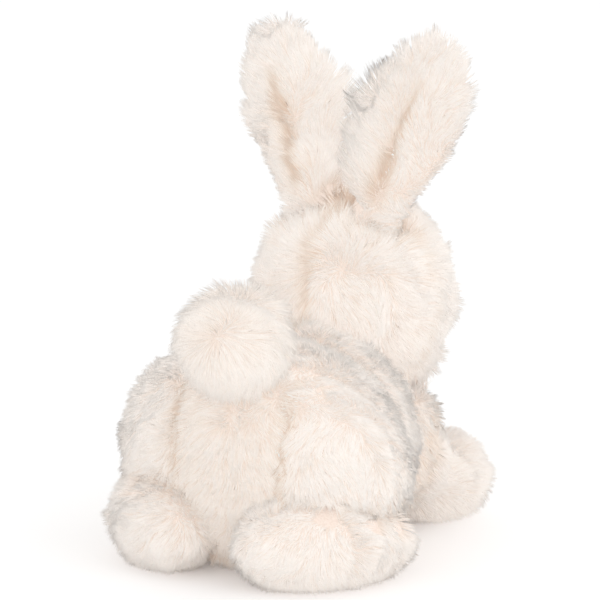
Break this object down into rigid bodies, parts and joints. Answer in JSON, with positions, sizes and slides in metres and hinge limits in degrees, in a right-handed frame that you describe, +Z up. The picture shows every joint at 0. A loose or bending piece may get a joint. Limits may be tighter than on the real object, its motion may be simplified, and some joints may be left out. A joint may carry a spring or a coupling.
{
  "type": "stuffed bunny rabbit",
  "caption": "Soft plush rabbit in cream long pile, lying on its belly, with upright ears, a pompom tail and splayed feet; head, ears, tail and front legs flex.",
  "frame": {"origin": "on the resting surface, under the middle of the toy's outline", "axes": "+Z up, nose towards -Y, the rabbit's left side towards +X"},
  "size_m": [0.1654, 0.2133, 0.2625],
  "materials": {
    "pile_fabric": "matte",
    "long_pile": "matte",
    "sole_pile": "matte",
    "ear_lining": "matte",
    "fibre_filling": "matte",
    "neck_cloth": "matte",
    "seam_thread": "matte",
    "mouth_thread": "matte",
    "nose_felt": "matte",
    "eye_plastic": "gloss",
    "washer_plastic": "matte"
  },
  "bodies": {
    "torso": {"torso_side_left": "pile_fabric", "torso_side_right": "pile_fabric", "rump_panel": "pile_fabric", "belly_panel": "sole_pile", "torso_stuffing": "fibre_filling", "tail_stitch": "seam_thread", "hind_foot_left_upper": "pile_fabric", "hind_foot_left_sole": "sole_pile", "hind_foot_left_stuffing": "fibre_filling", "hind_foot_right_upper": "pile_fabric", "hind_foot_right_sole": "sole_pile", "hind_foot_right_stuffing": "fibre_filling"},
    "neck": {"neck_lining": "neck_cloth", "neck_stitch": "seam_thread"},
    "head": {"head_back_left": "pile_fabric", "head_back_right": "pile_fabric", "face_left": "pile_fabric", "face_right": "pile_fabric", "head_gusset": "pile_fabric", "head_stuffing": "fibre_filling", "eye_left": "eye_plastic", "eye_right": "eye_plastic", "eye_washer_left": "washer_plastic", "eye_washer_right": "washer_plastic", "nose": "nose_felt", "mouth_stitch": "mouth_thread"},
    "ear_left": {"ear_left_back": "pile_fabric", "ear_left_lining": "ear_lining", "ear_left_batting": "fibre_filling"},
    "ear_right": {"ear_right_back": "pile_fabric", "ear_right_lining": "ear_lining", "ear_right_batting": "fibre_filling"},
    "tail": {"tail_cover": "long_pile", "tail_stuffing": "fibre_filling"},
    "front_leg_left": {"front_leg_left_upper": "pile_fabric", "front_leg_left_sole": "sole_pile", "front_leg_left_stuffing": "fibre_filling"},
    "front_leg_right": {"front_leg_right_upper": "pile_fabric", "front_leg_right_sole": "sole_pile", "front_leg_right_stuffing": "fibre_filling"}
  },
  "joints": [
    {"name": "head_turn", "type": "hinge", "parent": "torso", "child": "neck", "pos_m": [0, -0.043, 0.1245], "axis": [0, 0, 1], "range_deg": [-30, 30], "stiffness_Nm_per_rad": 0.4},
    {"name": "head_nod", "type": "hinge", "parent": "neck", "child": "head", "pos_m": [0, -0.043, 0.1245], "axis": [1, 0, 0], "range_deg": [-15, 10], "stiffness_Nm_per_rad": 0.6},
    {"name": "ear_left_fold", "type": "hinge", "parent": "head", "child": "ear_left", "pos_m": [0.0165, -0.032, 0.1655], "axis": [0.9397, 0, -0.342], "range_deg": [-50, 5], "stiffness_Nm_per_rad": 0.12},
    {"name": "ear_right_fold", "type": "hinge", "parent": "head", "child": "ear_right", "pos_m": [-0.0165, -0.032, 0.1655], "axis": [0.9397, 0, 0.342], "range_deg": [-50, 5], "stiffness_Nm_per_rad": 0.12},
    {"name": "tail_wag", "type": "hinge", "parent": "torso", "child": "tail", "pos_m": [0, 0.07055, 0.11461], "axis": [0, -0.8387, 0.5446], "range_deg": [-15, 15], "stiffness_Nm_per_rad": 0.08},
    {"name": "front_leg_left_lift", "type": "hinge", "parent": "torso", "child": "front_leg_left", "pos_m": [0.027, -0.046, 0.041], "axis": [-1, 0, 0], "range_deg": [0, 20], "stiffness_Nm_per_rad": 0.15},
    {"name": "front_leg_right_lift", "type": "hinge", "parent": "torso", "child": "front_leg_right", "pos_m": [-0.027, -0.046, 0.041], "axis": [-1, 0, 0], "range_deg": [0, 20], "stiffness_Nm_per_rad": 0.15}
  ]
}
